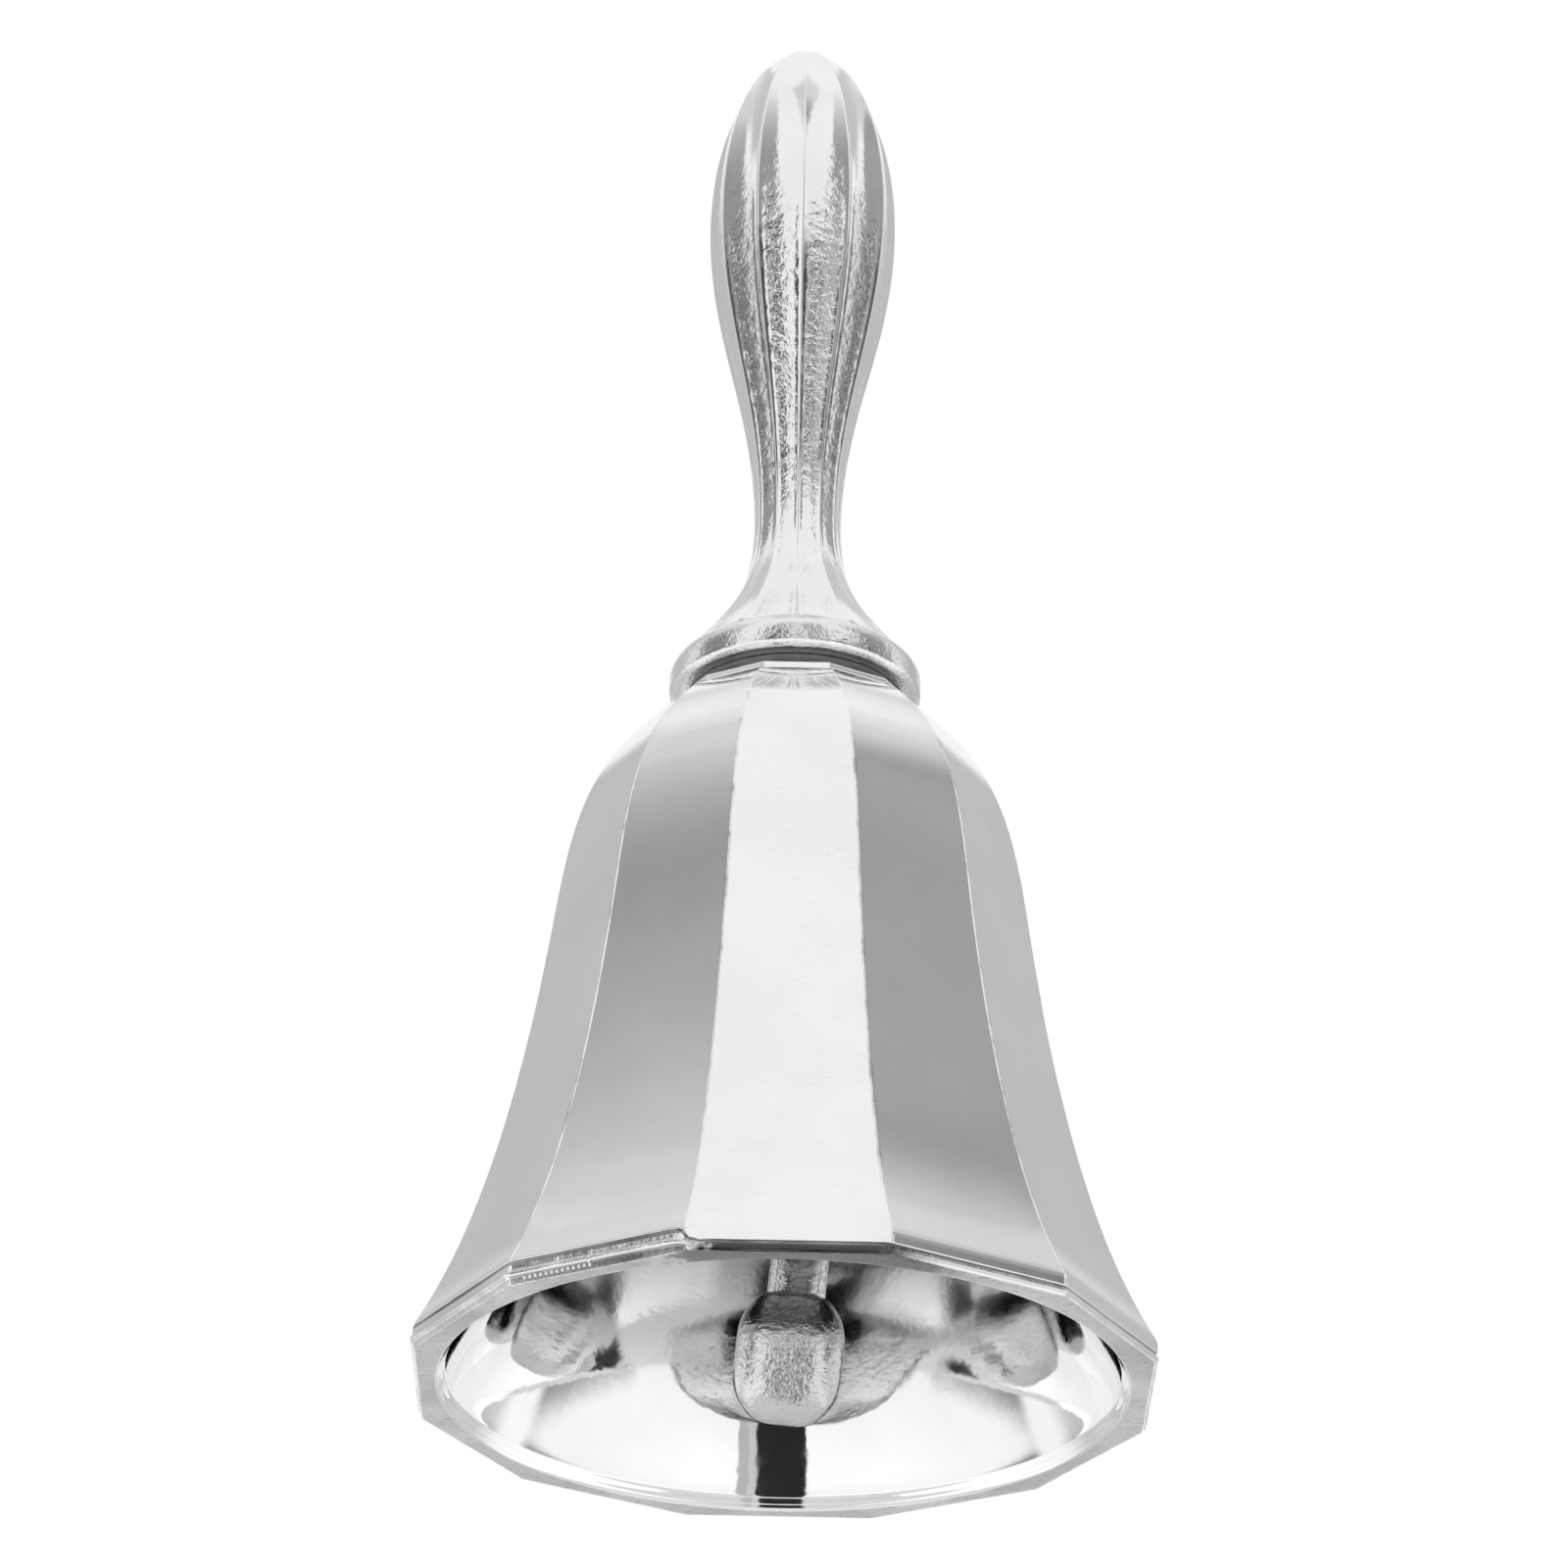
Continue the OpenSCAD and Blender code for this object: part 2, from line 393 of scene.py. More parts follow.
# The rim's bead and the ground rim carry a painted dark reflection across the front.
RIM = metal("silver_rim_bead", 0.95, 0.08, grain=[(1.3, 0.03), (0.35, 0.015)], tarnish=0.15,
            dark_reflection=(-13, 19, 0.11))
# Painted shade: the groove under the rim's bead is made dark for the shade in it.
GROOVE = metal("dark_groove", 0.5, 0.2, grain=[(0.6, 0.05), (0.25, 0.03)], tarnish=0.75)
GROUND = metal("silver_ground_rim", 0.93, 0.15, grain=[(0.8, 0.03), (0.25, 0.02)],
               scratches=(0.05, 0.56, 2.2, 0.25), tarnish=0.3, dark_reflection=(-17, 26, 0.34))
HANDLE = metal("silver_handle", 0.93, 0.05, tarnish=0.08, flutes=0.9,
               grain=[(2.4, 0.02), (0.9, 0.12, *BULB_GRAIN), (0.4, 0.06, *BULB_GRAIN)])
COLLAR = metal("silver_collar", 0.9, 0.11, grain=[(1.5, 0.05), (0.4, 0.06)], tarnish=0.18)
# Painted shade: the ring in the gap between the crown and the collar is made dark for the shade there.
SHADED_RING = metal("ring_painted_shade", 0.22, 0.35, grain=[(0.3, 0.01)], tarnish=0.4)
STEEL = metal("plain_steel", 0.55, 0.24, grain=[(0.25, 0.006)], scratches=(0.004, 0.6, 1, 1), tarnish=0.25)
CAST = metal("silver_cast", 0.76, 0.14, grain=[(1.6, 0.08), (0.5, 0.12)], tarnish=0.2)


# ---------------------------------------- shell
EDGE_STEPS = [0.15, 0.3, 0.44, 0.58, 0.72, 0.86, 0.97, 1]
FLAT_STEPS = [-step for step in reversed(EDGE_STEPS)] + [0] + EDGE_STEPS
ARRIS_STEPS = 3
# The panels, counted from the front, that are rolled over beside one edge, with the side of that edge.
ROLLED_PANELS = {1: 1, 5: 1, 7: -1, 11: -1}
# The stretch where the rim's band is narrow, in panels from the front and growing to the right.
NARROW_FROM, NARROW_TO, NARROW_SOFT = -0.53, 5.53, 0.06
NARROW_DROP = 1.2
# How far above the panels' foot the drop has died away.
DROP_REACH = 4
INNER_EDGE = [(28.75, 0.0), (28.55, 0.02), (28.42, 0.12), (28.3, 0.32)]
INNER_BEAD = [(28.2, 0.5), (28.05, 0.66), (27.98, 0.85), (27.84, 1.0), (27.75, 1.15)]
SHELL_METALS = [POLISHED, RIM, GROUND, INSIDE, GROOVE, COLLAR]


def rolled(panel, side):
    """How far a panel falls away in a narrow strip beside its rolled edge, as a part of its half width."""
    edge = ROLLED_PANELS.get(panel)
    return 0.02 * max(0.0, side * edge - 0.86) if edge else 0.0


def panel_ring(corner_r, z, soft=ARRIS_SOFT, ripple=0.0):
    """Points round the bell at one height: flats, with small round arrises between them."""
    flat_r = corner_r * CORNER_TO_FLAT
    points = []
    for k in range(PANELS):
        turn = k * PANEL_ANGLE
        edge = soft * (1 + 0.35 * noise.noise(Vector((k * 7.3, 0.0, z * 0.9))))
        half = (flat_r - edge) * math.tan(PANEL_ANGLE / 2)
        outward = Vector((math.sin(turn), -math.cos(turn), 0))
        along = Vector((math.cos(turn), math.sin(turn), 0))
        local = [(flat_r - rolled(k, s) * half, half * s) for s in FLAT_STEPS]
        centre = (flat_r - edge, half)
        for i in range(1, ARRIS_STEPS + 1):
            a = PANEL_ANGLE * i / (ARRIS_STEPS + 1)
            local.append((centre[0] + edge * math.cos(a), centre[1] + edge * math.sin(a)))
        for out, side in local:
            point = outward * out + along * side
            if ripple:
                waves = noise.noise(Vector((point.x * 0.13, point.y * 0.13, z * 0.075)))
                point *= 1 + ripple * waves / flat_r
            points.append((point.x, point.y, z))
    return points


def round_ring(radius, z):
    """Points round a circle at the same turns as a panel ring's points."""
    ring = []
    for x, y, _ in panel_ring(RIM_R, 0.0):
        length = math.hypot(x, y)
        ring.append((x / length * radius, y / length * radius, z))
    return ring


def shell_outside():
    """Corner radius and height, from the edge of the flat top down to the rim's bead."""
    shoulder = (CROWN_EDGE_R, CROWN_EDGE_Z - 0.08)
    foot = (MOUTH_CORNER_R - 0.3, PANEL_FOOT_Z)
    line = [(10.6, SHELL_TOP), (10.78, SHELL_TOP - 0.04), (10.84, SHELL_TOP - 0.15)]
    line += straight((10.84, SHELL_TOP - 0.15), (11.0, CROWN_EDGE_Z + 0.12), 2)
    line += [(11.2, CROWN_EDGE_Z + 0.02), shoulder]
    line += curve(shoulder, (18.2, 55.2), (19.4, 49), WAIST, 60)
    line += curve(WAIST, (24.5, 12), (30.2, 4.1), foot, 80)
    return line


def rim_bead():
    """The groove and the raised bead round the outside of the mouth."""
    mouth = MOUTH_CORNER_R
    line = [(mouth - 0.34, 2.04), (mouth - 0.36, 1.96), (mouth - 0.22, 1.88), (mouth - 0.19, 1.6)]
    line += [(mouth - 0.18, 1.4), (mouth - 0.21, 1.24), (mouth - 0.17, 1.14), (mouth - 0.08, 1.08)]
    line += arc((mouth - 0.23, 0.87), 0.23, 60, -45, 8)
    line += [(mouth - 0.16, 0.64), (mouth - 0.26, 0.56), (mouth - 0.29, 0.4)]
    line += [(mouth - 0.32, 0.24), (mouth - 0.38, 0.12)]
    return line


def outside_radius(z):
    """The outside's corner radius at a height, carried on straight below the panels' foot."""
    line = shell_outside()[::-1]
    for (r0, z0), (r1, z1) in zip(line, line[1:]):
        if z <= z1:
            break
    return min(r0 + (r1 - r0) * (z - z0) / (z1 - z0), MOUTH_CORNER_R - 0.12)


def lowered(ring, on_panels=False):
    """A ring near the rim, drawn down at the front and all round the right, where the rim's band is narrow.

    A ring on the panels also takes the outside's radius at its new height, which keeps the panels' shape."""
    points = []
    for x, y, z in ring:
        panel = math.atan2(x, -y) / PANEL_ANGLE
        narrow = unit((panel - NARROW_FROM) / NARROW_SOFT) * unit((NARROW_TO - panel) / NARROW_SOFT)
        share = z / PANEL_FOOT_Z if z < PANEL_FOOT_Z else (PANEL_FOOT_Z + DROP_REACH - z) / DROP_REACH
        drop = NARROW_DROP * narrow * unit(share)
        scale = outside_radius(z - drop) / outside_radius(z) if on_panels and drop else 1.0
        points.append((x * scale, y * scale, z - drop))
    return points


def worn(ring, depth):
    """A ring of points, each drawn inwards and up a little at random, as a rough casting is."""
    points = []
    for x, y, z in ring:
        place = Vector((x, y, z))
        sink = depth * (abs(noise.noise(place * 0.7)) + abs(noise.noise(place * 2.1)) * 0.6)
        scale = 1 - sink / RIM_R
        points.append((x * scale, y * scale, z + sink * 0.5))
    return points


def shell_inside():
    """Radius and height, from the rim's inner bead up to the crown."""
    waist = (17.9, 39.5)
    line = curve(INNER_BEAD[-1], (26.9, 3.6), (21.5, 12.5), waist, 90)
    line += curve(waist, (16.8, 48.5), (15.8, 53.6), (8.4, WALL_TOP), 60)
    return line


def blend(ring, other, share):
    """A ring part of the way from one ring to another."""
    return [tuple(p * (1 - share) + q * share for p, q in zip(a, b)) for a, b in zip(ring, other)]


def blob(centre, radii):
    """A small closed ellipsoid."""
    stacks = 6
    rings = []
    for i in range(1, stacks):
        a = math.pi * i / stacks
        rings.append([(centre[0] + radii[0] * x, centre[1] + radii[1] * y, centre[2] - radii[2] * math.cos(a))
                      for x, y, _ in circle(math.sin(a), 0.0, 10)])
    return capped(rings)


def cast_specks():
    """A row of tiny cast beads under the rim's bead, and one burr across it, left of the front."""
    turn = -PANEL_ANGLE
    outward = Vector((math.sin(turn), -math.cos(turn), 0))
    along = Vector((math.cos(turn), math.sin(turn), 0))
    flat_r = MOUTH_CORNER_R * CORNER_TO_FLAT

    def place(inset, side, z):
        """A point near the panel's foot, inset from its flat."""
        spot = outward * (flat_r - inset) + along * side
        return spot.x, spot.y, z

    parts = []
    for i in range(13):
        parts.append(blob(place(0.28, -6.5 + 0.5 * i, 0.38 + 0.01 * (i % 3)), (0.19, 0.19, 0.18)))
    parts.append(blob(place(0.3, -0.6, 0.86), (0.28, 0.3, 0.4)))
    parts.append(blob(place(0.36, -0.4, 1.4), (0.17, 0.22, 0.4)))
    return merge(*parts)


def ground_rim():
    """Rings from the outside's foot to the round inner edge of the flat that the bell stands on."""
    mouth = MOUTH_CORNER_R
    chamfer = [worn(panel_ring(mouth - 0.4, 0.05, soft=0.5), 0.1), panel_ring(mouth - 0.55, 0.01, soft=0.5)]
    outer = panel_ring(mouth - 0.75, 0.0, soft=0.6)
    inner = round_ring(*INNER_EDGE[0])
    return chamfer + [outer, blend(outer, inner, 0.33), blend(outer, inner, 0.67), inner]


def bell_shell():
    """The shell: panels outside, round inside, with a ground rim between them."""
    outside = [lowered(panel_ring(r, z, ripple=0.02), True) for r, z in shell_outside()]
    bead = [worn(lowered(panel_ring(r, z, soft=0.5)), 0.1) for r, z in rim_bead()]
    inside = [round_ring(r, z) for r, z in INNER_EDGE[1:] + INNER_BEAD + shell_inside()]
    inside += [round_ring(r, WALL_TOP) for r in (7.6, 5.0, HOLE_R)]
    crown = [round_ring(r, SHELL_TOP) for r in (HOLE_R, 6.0, 9.6)]

    parts = [(outside, POLISHED), (bead, RIM), (ground_rim(), GROUND), (inside, INSIDE), (crown, COLLAR)]
    rings = [ring for part, _ in parts for ring in part]
    row_zones = [SHELL_METALS.index(material) for part, material in parts for _ in part]
    points, faces = skin(rings, closed=True)
    bead_start = len(outside)
    bead_end = bead_start + len(bead)
    per_panel = len(rings[0]) // PANELS
    zones = []
    for index in range(len(faces)):
        row, column = divmod(index, len(rings[0]))
        left_of_front = column // per_panel == PANELS - 1
        in_groove = bead_start <= row < bead_start + 3
        # The groove's rows are darkened as painted shade; the bead's lowest rows on the panel left of the
        # front are darkened too.
        darkened = in_groove or (left_of_front and bead_end - 5 <= row < bead_end)
        zones.append(SHELL_METALS.index(GROOVE) if darkened else row_zones[row])
    specks = cast_specks()
    zones += [SHELL_METALS.index(RIM)] * len(specks[1])
    points, faces = merge((points, faces), specks)
    return make_piece("shell", points, faces, SHELL_METALS, zones)


# ---------------------------------------- handle
FLUTE_STEPS = 24
ARRIS_WIDTH = 0.05
WELL_DEPTH = 14


def cast_skin(point, in_flute):
    """How far the casting's rough skin stands out: most in the flutes, from the bulb's middle to the neck."""
    low = unit((BULB_Z + 6 - point.z) / 12)
    off_neck = 0.3 + 0.7 * unit((point.z - NECK_Z) / 6)
    coarse = 0.035 * noise.noise(point * 0.9) + 0.02 * noise.noise(point * 1.9)
    return low * off_neck * coarse * (0.25 + 0.75 * in_flute) + 0.02 * noise.noise(point * 0.22)


def fluted_ring(corner_r, z, roundness=0.0):
    """Points round the handle at one height: shallow hollow flutes between soft arrises.

    The points crowd together at the arrises. The arris at the front is sharper on the upper bulb."""
    points = []
    share = (z - NECK_Z - 1) / 8 if z > NECK_Z else (NECK_Z - z) / 20
    depth = FLUTE_DEPTH * (0.35 + 0.65 * unit(share))
    upper = unit((z - BULB_Z) / 5)
    for k in range(PANELS * FLUTE_STEPS):
        flutes = k / FLUTE_STEPS
        turn = PANEL_ANGLE * (flutes - 0.85 * math.sin(math.tau * flutes) / math.tau)
        across = abs(((turn / PANEL_ANGLE + 0.5) % 1) - 0.5) * 2
        at_front = math.cos(turn) > CORNER_TO_FLAT
        width = ARRIS_WIDTH * (1 - 0.8 * upper if at_front else 1.0)
        soft = math.sqrt(across * across + width * width) - width * 0.5
        from_middle = 1 - min(soft, 1.0)
        chord = CORNER_TO_FLAT / math.cos(from_middle * PANEL_ANGLE / 2)
        flute = chord - depth * (1 - from_middle * from_middle)
        radius = corner_r * (flute * (1 - roundness) + roundness)
        place = Vector((radius * math.sin(turn), -radius * math.cos(turn), z))
        in_flute = max(roundness, min(1.0, 3 * across))
        skin_out = cast_skin(place, in_flute) * min(1.0, radius / 2)
        radius += skin_out if corner_r < COLLAR_R - 0.3 else -abs(skin_out)
        points.append((radius * math.sin(turn), -radius * math.cos(turn), z))
    return points


def handle_outline():
    """Corner radius and height, from the flutes' foot to the tip."""
    foot = (FLUTE_FOOT_R, FLUTE_FOOT_Z)
    line = [foot]
    line += curve(foot, (7.4, FLUTE_FOOT_Z + 2.6), (NECK_R, NECK_Z - 7), (NECK_R, NECK_Z), 60)
    line += curve((NECK_R, NECK_Z), (NECK_R, NECK_Z + 11.9), (BULB_R, BULB_Z - 12), (BULB_R, BULB_Z), 110)
    line += curve((BULB_R, BULB_Z), (BULB_R, BULB_Z + 9), (5.6, TIP_Z - 2.4), (0.02, TIP_Z), 80)
    return line


def handle():
    """The handle and its collar, one casting, with a blind hole for the stud."""
    rings = []
    under = [(HOLE_R, COLLAR_Z), (6.0, COLLAR_Z)]
    under += [(COLLAR_R - 0.75, COLLAR_Z + 0.02), (COLLAR_R - 0.45, COLLAR_Z + 0.12)]
    side = arc((COLLAR_R - 0.62, COLLAR_Z + 0.75), 0.6, -45, 0, 5)
    side += straight((COLLAR_R - 0.02, COLLAR_Z + 0.75), (COLLAR_R, COLLAR_Z + 1.5), 3)
    shoulder = arc((COLLAR_R - 1.75, COLLAR_Z + 1.7), 1.75, 0, 74, 14)
    for r, z in under + side + shoulder:
        rings.append(fluted_ring(r, z, roundness=1.0))
    rings.append(fluted_ring(9.45, FLUTE_FOOT_Z - 0.38, roundness=1.0))
    rings.append(fluted_ring(9.43, FLUTE_FOOT_Z - 0.22, roundness=0.9))
    collar_faces = (len(rings) - 1) * len(rings[0])
    for r, z in handle_outline():
        rings.append(fluted_ring(r, z))
    points, faces = skin(rings)
    faces.append(tuple(range(len(points) - len(rings[0]), len(points))))
    start = len(points)
    points += [(x, y, COLLAR_Z + WELL_DEPTH) for x, y, _ in rings[0]]
    count = len(rings[0])
    faces += [(start + j, start + (j + 1) % count, (j + 1) % count, j) for j in range(count)]
    faces.append(tuple(range(start + count - 1, start - 1, -1)))
    zones = [1 if i < collar_faces else 0 for i in range(len(faces))]
    return make_piece("fluted_handle", points, faces, [HANDLE, COLLAR], zones)


# ---------------------------------------- turned hardware
def turned(name, outline, material, sides=96, limit=None):
    """A ring turned from a closed outline. limit(turn) caps its radius, such as by a hexagon."""
    rings = []
    for r, z in outline:
        ring = []
        for k in range(sides):
            turn = math.tau * k / sides
            radius = min(r, limit(turn)) if limit else r
            ring.append((radius * math.cos(turn), radius * math.sin(turn), z))
        rings.append(ring)
    points, faces = skin(rings, closed=True)
    return make_piece(name, points, faces, [material])


def washer(name, node, material):
    """A flat ring with softened outer edges, as large as its node's box."""
    low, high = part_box(node)
    r, z0, z1 = high[0] / MM, low[2] / MM, high[2] / MM
    edge = 0.15
    outline = [(HOLE_R, z0), (r - edge, z0), (r - edge * 0.3, z0 + edge * 0.3), (r, z0 + edge),
               (r, z1 - edge), (r - edge * 0.3, z1 - edge * 0.3), (r - edge, z1), (HOLE_R, z1)]
    return turned(name, outline, material)


def crown_nut():
    """A hexagon nut with chamfered corners."""
    low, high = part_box("crown_nut")
    flat_r = (high[1] - low[1]) / MM / 2
    corner = (high[0] - low[0]) / MM / 2
    z0, z1 = low[2] / MM, high[2] / MM
    sixth = math.tau / 6

    def hexagon(turn):
        return flat_r / math.cos((turn % sixth) - sixth / 2)

    lower = [(HOLE_R, 0.25), (HOLE_R + 0.25, 0), (flat_r - 0.15, 0), (flat_r + 0.1, 0.1),
             (corner, 0.42), (corner, 0.5)]
    outline = [(r, z0 + rise) for r, rise in lower] + [(r, z1 - rise) for r, rise in reversed(lower)]
    return turned("hexagon_nut", outline, STEEL, 144, hexagon)


def hanger_stud():
    """The stud, ringed like a thread, with its forged eye."""
    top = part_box("hanger_stud")[1][2] / MM
    plate_r, plate_t, hole_r = 2.6, 1.6, 1.15
    sides = 48
    pitch = 0.8
    shank = []
    z = EYE.z + 1.7
    while z < top - 0.5:
        for offset, r in ((0.0, STUD_R - 0.28), (0.32, STUD_R - 0.01), (0.48, STUD_R - 0.01)):
            shank.append((r, z + offset))
        z += pitch
    shank += [(STUD_R - 0.3, top - 0.3), (STUD_R - 0.6, top)]
    body = capped([circle(r, z, sides) for r, z in shank])
    half = plate_t / 2
    section = [(hole_r, 0), (hole_r + 0.05, half * 0.6), (hole_r + 0.25, half * 0.94), (hole_r + 0.5, half),
               (plate_r - 0.45, half), (plate_r - 0.14, half * 0.8), (plate_r, half * 0.35)]
    section += [(r, -x) for r, x in reversed(section[1:])]
    loops = [[(x, y, EYE.z + z) for y, z, _ in circle(r, 0.0, sides)] for r, x in section]
    points, faces = merge(body, skin(loops, closed=True))
    return make_piece("eye_stud", points, faces, [STEEL])


# ---------------------------------------- link and clapper
def hung_matrix():
    """From the link's own axes, with the upper eye at the origin and -Z down the link, to the bell's."""
    down = (LOWER_EYE - EYE).normalized()
    across = SWAY_AXIS.cross(-down).normalized()
    turn = Matrix((across, SWAY_AXIS, -down)).transposed().to_4x4()
    return Matrix.Translation(EYE) @ turn


def loop_path():
    """A loop of wire through the origin in the XZ plane, from its cut end round to the shank at its foot."""
    path = [Vector((x, 0, z)) for x, z in arc((0, -LOOP_R), LOOP_R, -58, 258, 40)]
    path += [Vector((-0.12, 0, -2 * LOOP_R - 0.08)), Vector((-0.02, 0, -2 * LOOP_R - 0.42))]
    return path + [Vector((0, 0, -LOOP_FOOT))]


def clapper_link():
    """One wire, bent into a loop at each end, the lower loop turned a quarter round."""
    length = (LOWER_EYE - EYE).length
    upper = loop_path()
    lower = [Vector((0, p.x, -length - p.z)) for p in reversed(loop_path())]
    shank = [Vector((0, 0, -LOOP_FOOT - (length - 2 * LOOP_FOOT) * i / 20)) for i in range(1, 20)]
    points, faces = tube(upper + shank + lower, WIRE_R - 0.02, 20)
    return make_piece("wire_link", points, faces, [STEEL], place=hung_matrix())


def clapper_matrix():
    """From the clapper's own axes, with the tongue's eye at the origin, to the bell's."""
    turn = hung_matrix().to_3x3().to_4x4() @ Matrix.Rotation(CLAPPER_TURN, 4, "Y")
    return Matrix.Translation(LOWER_EYE) @ turn


def tongue():
    """The flat tongue: raised rails round a hollow front, and an eye at its top."""
    foot = HEAD_BELOW_EYE - HEAD.z / 2 + TONGUE_SEAT
    side_steps, round_steps = 14, 36

    def border(inset):
        """The tongue's border, drawn in by inset, with as many points as any other inset has."""
        r = TONGUE_W / 2 - inset
        bottom = -foot + inset * 0.4
        left = [(-r, bottom * (1 - i / side_steps)) for i in range(side_steps)]
        top = [(-r * math.cos(math.pi * i / round_steps), r * math.sin(math.pi * i / round_steps))
               for i in range(round_steps + 1)]
        right = [(r, bottom * (i + 1) / side_steps) for i in range(side_steps)]
        base = [(r - 2 * r * (i + 1) / 9, bottom) for i in range(8)]
        return left + top + right + base

    def eye(radius):
        """A circle round the eye, with a point towards each point of the border."""
        ring = []
        for x, z in border(0.0):
            length = math.hypot(x, z)
            ring.append((x / length * radius, z / length * radius))
        return ring

    half = TONGUE_T / 2
    front = [(border(0), -half + 0.5), (border(0.06), -half + 0.2), (border(0.24), -half + 0.04),
             (border(0.42), -half), (border(0.62), -half + 0.05), (border(0.82), -half + 0.3),
             (eye(TONGUE_HOLE_R + 0.03), -half + 0.36), (eye(TONGUE_HOLE_R), -half + 0.46)]
    back = [(eye(TONGUE_HOLE_R), half - 0.12), (eye(TONGUE_HOLE_R + 0.12), half), (border(0.3), half),
            (border(0.06), half - 0.1), (border(0), half - 0.4)]
    rings = [[(x, y, z) for x, z in ring] for ring, y in front + back]
    points, faces = skin(rings, closed=True)
    return make_piece("tongue", points, faces, [CAST], place=clapper_matrix())


HEAD_PLANES = [
    ((1, 0, 0), 1.0), ((0, 1, 0), 1.0), ((0, 0, 1), 1.0),
    ((1, 1, 0), 1.62), ((1, 0, 1), 1.56), ((0, 1, 1), 1.42), ((1, 1, 1), 2.05),
]
HEAD_SOFTNESS = 14
LOWER_BEVEL_LESS = 0.22


def head_radius(way):
    """How far the striking block reaches in a direction: a box with flat bevels and softened edges."""
    total = 0.0
    for normal, reach in HEAD_PLANES:
        flat = sum(n * abs(w) / (size / 2) for n, w, size in zip(normal, way, HEAD))
        # The bevels under the front and the back are cut less.
        if way.z < 0 and normal[1] and normal[2]:
            reach += LOWER_BEVEL_LESS
        total += (flat / reach) ** HEAD_SOFTNESS
    return total ** (-1 / HEAD_SOFTNESS)


def clapper_head():
    """The striking block: bevelled and barrelled, with soft edges and an uneven cast skin."""
    grid = 40
    points, faces, index = [], [], {}

    def corner(cell):
        """The point for a place on the cube's grid, made once."""
        if cell not in index:
            shares = [math.tan((2 * c / grid - 1) * math.pi / 4) for c in cell]
            way = Vector([share * size / 2 for share, size in zip(shares, HEAD)]).normalized()
            p = way * head_radius(way)
            p *= 0.985 + 0.012 * noise.noise(p * 0.5) + 0.003 * noise.noise(p * 1.7)
            index[cell] = len(points)
            points.append((p.x, p.y, p.z - HEAD_BELOW_EYE))
        return index[cell]

    for axis in range(3):
        u, v = [k for k in range(3) if k != axis]
        for level in (0, grid):
            for i in range(grid):
                for j in range(grid):
                    cells = []
                    for a, b in ((i, j), (i + 1, j), (i + 1, j + 1), (i, j + 1)):
                        cell = [0, 0, 0]
                        cell[axis], cell[u], cell[v] = level, a, b
                        cells.append(corner(tuple(cell)))
                    outward = (level == grid) == (axis != 1)
                    faces.append(tuple(cells if outward else cells[::-1]))
    return make_piece("striking_block", points, faces, [CAST], place=clapper_matrix())


# ---------------------------------------- studio
CAMERA_AT = Vector((-0.0033, -0.4859, -0.1873))
CAMERA_AIM = Vector((-0.0008, 0.0, 0.0557))
CAMERA_ROLL = math.radians(1.014)
CAMERA_LENS = 145.16


def camera():
    """A long lens that looks up at the bell from in front of and below the mouth."""
    data = bpy.data.cameras.new("camera")
    data.lens = CAMERA_LENS
    data.sensor_width = 36.0
    data.clip_start = 0.01
    item = bpy.data.objects.new("camera", data)
    turn = (CAMERA_AIM - CAMERA_AT).to_track_quat("-Z", "Y").to_matrix().to_4x4()
    item.matrix_world = Matrix.Translation(CAMERA_AT) @ turn @ Matrix.Rotation(CAMERA_ROLL, 4, "Z")
    bpy.context.scene.collection.objects.link(item)
    bpy.context.scene.camera = item


def floor():
    """A round pale floor, so far below the bell that the bell can be seen from underneath."""
    z, radius, sides = -1000, 1200, 96
    outline = [(20, z), (radius / 2, z), (radius - 6, z), (radius, z - 6), (radius, z - 30), (20, z - 30)]
    points, faces = skin([circle(r, height, sides) for r, height in outline])
    faces.append(tuple(range(sides))[::-1])
    make_piece("floor", points, faces, [plain("pale_floor", 0.76, 0.7)])


def cards():
    """Small cards just under the front of the rim, which the inside of the bell mirrors.

    The camera doesn't see them, and they cast no shadow."""
    front, back, low, high = -38.0, -38.5, -78.0, -5.0
    for name, left, right, level in (("dark_card", -8.2, 8.2, 0.012), ("pale_card", 8.2, 10.8, 0.92),
                                     ("grey_card", 10.8, 14.6, 0.72)):
        points = []
        for y in (front, back):
            points += [(left, y, high), (right, y, high), (right, y, low), (left, y, low)]
        sides = [(i, (i + 1) % 4, (i + 1) % 4 + 4, i + 4) for i in range(4)]
        item = make_piece(name, points, [(3, 2, 1, 0), (4, 5, 6, 7)] + sides, [plain(name, level, 0.9)])
        for face in item.data.polygons:
            face.use_smooth = False
        item.visible_camera = False
        item.visible_shadow = False


def key_light():
    """A wide soft light high over the bell, which the metal doesn't mirror."""
    data = bpy.data.lights.new("key", "AREA")
    data.shape = "DISK"
    data.size = 1.6
    data.energy = 18.0
    item = bpy.data.objects.new("key", data)
    item.location = (0.1, -0.2, 1.1)
    item.visible_glossy = False
    bpy.context.scene.collection.objects.link(item)


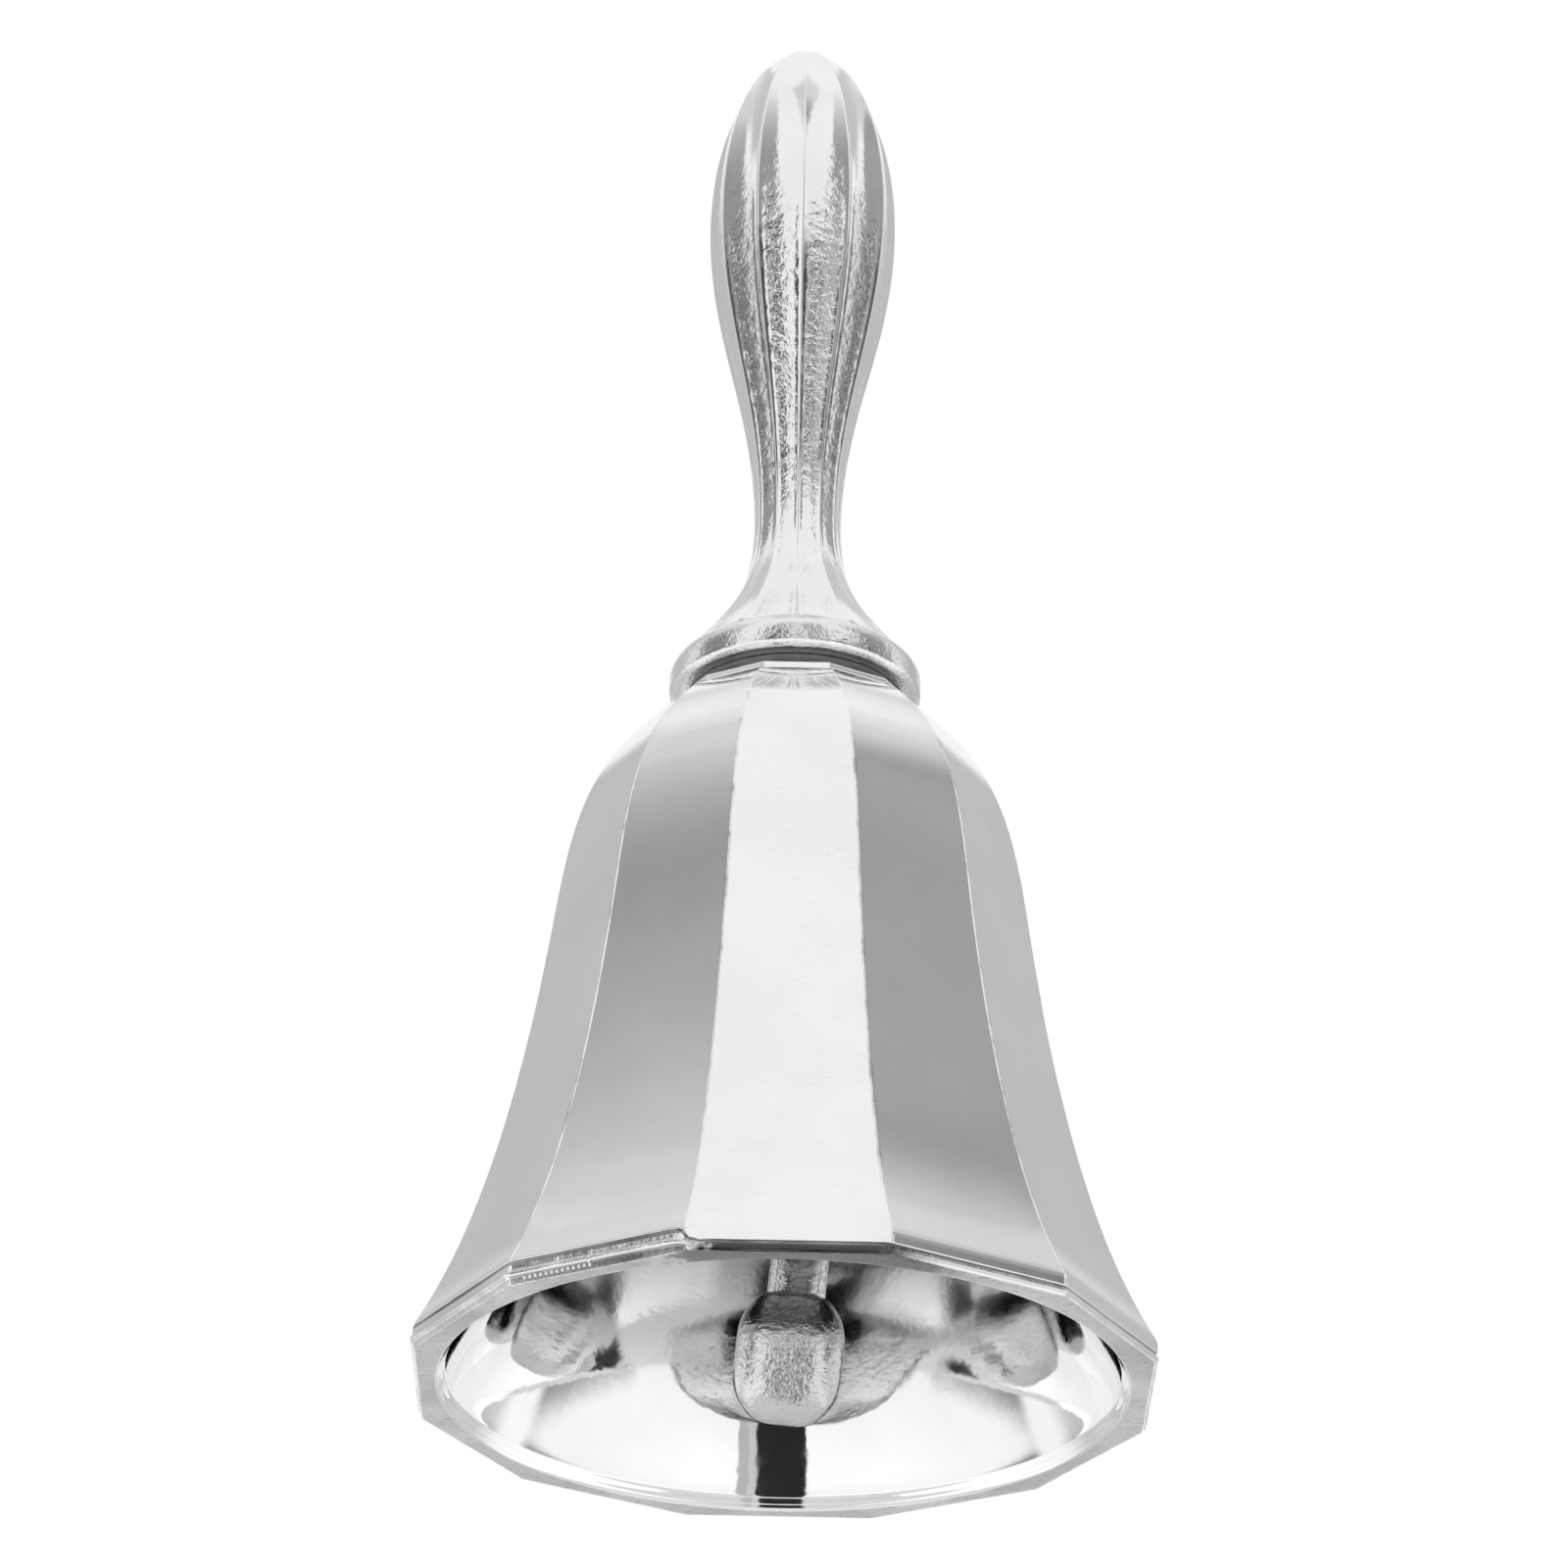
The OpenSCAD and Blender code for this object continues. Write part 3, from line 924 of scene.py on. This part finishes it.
def studio():
    """White walls with soft grey flags at the sides, which the silver mirrors, and a white background.

    turn is the angle round the bell, 0 at the front and growing to the right. rise is the angle above the
    level. Both are in degrees."""
    world = bpy.data.worlds.new("studio")
    world.use_nodes = True
    bpy.context.scene.world = world
    tree = world.node_tree
    tree.nodes.clear()
    n = Nodes(tree)
    where = n.add("ShaderNodeTexCoord").outputs["Generated"]
    x, y, z = n.add("ShaderNodeSeparateXYZ", {0: where}).outputs
    turn = n.times(n.turn(x, y), 180 / math.pi)
    rise = n.times(n.math("ARCSINE", z), 180 / math.pi)
    aside = n.math("ABSOLUTE", turn)

    def patch(tone, level, turns, rises, soft, of=aside):
        """Paints level over tone inside a range of turns and rises, in degrees, with soft edges."""
        mask = n.times(n.band(of, *turns, soft, soft), n.band(rise, *rises, soft, soft))
        return n.mix(mask, tone, level)

    uneven = n.step(n.noise(where, 5.0, 2.0), 0.3, 0.7, 0.94, 1.06)
    left = n.step(rise, 34.0, 60.0, 0.33, 0.74)
    right = n.step(rise, 50.0, 61.0, 0.37, 0.72)
    wall = n.times(n.mix(n.step(turn, -5.0, 5.0), left, right), uneven)
    tone = n.times(n.step(rise, -10.0, 0.0, 1.0, 0.95), n.step(rise, -40.0, -18.0, 1.25, 1.0))
    # The flags behind the bell's sides, and the two beside it.
    tone = patch(tone, 0.71, (96, 114), (46, 62), 4.0)
    tone = patch(tone, n.step(rise, 36.0, 62.0, 0.55, 0.71), (112, 156), (-8, 60), 5.0)
    tone = patch(tone, wall, (59, 98), (-12, 66), 3.0)
    # Narrow flags on both sides of the front, and small dark ones low down, which the handle mirrors.
    tone = patch(tone, n.step(rise, 40.0, 74.0, 0.34, 0.94), (7, 23), (-2, 80), 2.5)
    tone = patch(tone, 0.12, (62, 80), (2, 24), 6.0)
    tone = patch(tone, 0.07, (27, 56), (2, 20), 8.0, turn)
    tone = patch(tone, 0.08, (-29, -10), (0, 23), 5.0, turn)
    # A grey behind the bell, below its mouth.
    tone = patch(tone, 0.6, (120, 200), (-62, -6), 8.0)
    seen = n.add("ShaderNodeBackground", {"Color": (1, 1, 1, 1), "Strength": 1.0}).outputs[0]
    grey = n.add("ShaderNodeCombineColor", {0: tone, 1: tone, 2: tone}).outputs[0]
    lit = n.add("ShaderNodeBackground", {"Color": grey, "Strength": 1.0}).outputs[0]
    ray = n.add("ShaderNodeLightPath").outputs["Is Camera Ray"]
    both = n.add("ShaderNodeMixShader", {0: ray, 1: lit, 2: seen}).outputs[0]
    out = n.add("ShaderNodeOutputWorld")
    tree.links.new(both, out.inputs["Surface"])
    bpy.context.scene.view_settings.view_transform = "Standard"


# ---------------------------------------- assembly
def show(piece, body, slot, *nodes):
    """Puts a piece on its body, in place of its CAD nodes. slot is not used."""
    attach(piece, body)
    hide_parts(*nodes)


camera()
studio()
floor()
key_light()
cards()
show(bell_shell(), "bell", "bell_silver", "bell_shell")
show(handle(), "bell", "handle_silver", "handle")
show(washer("turned_ring", "neck_ring", SHADED_RING), "bell", "ring_metal", "neck_ring")
show(washer("flat_washer", "crown_washer", STEEL), "bell", "hanger_steel", "crown_washer")
show(crown_nut(), "bell", "hanger_steel", "crown_nut")
show(hanger_stud(), "bell", "hanger_steel", "hanger_stud")
show(clapper_link(), "link", "hanger_steel", "clapper_link")
show(tongue(), "clapper", "clapper_metal", "clapper_tongue")
show(clapper_head(), "clapper", "clapper_metal", "clapper_head")
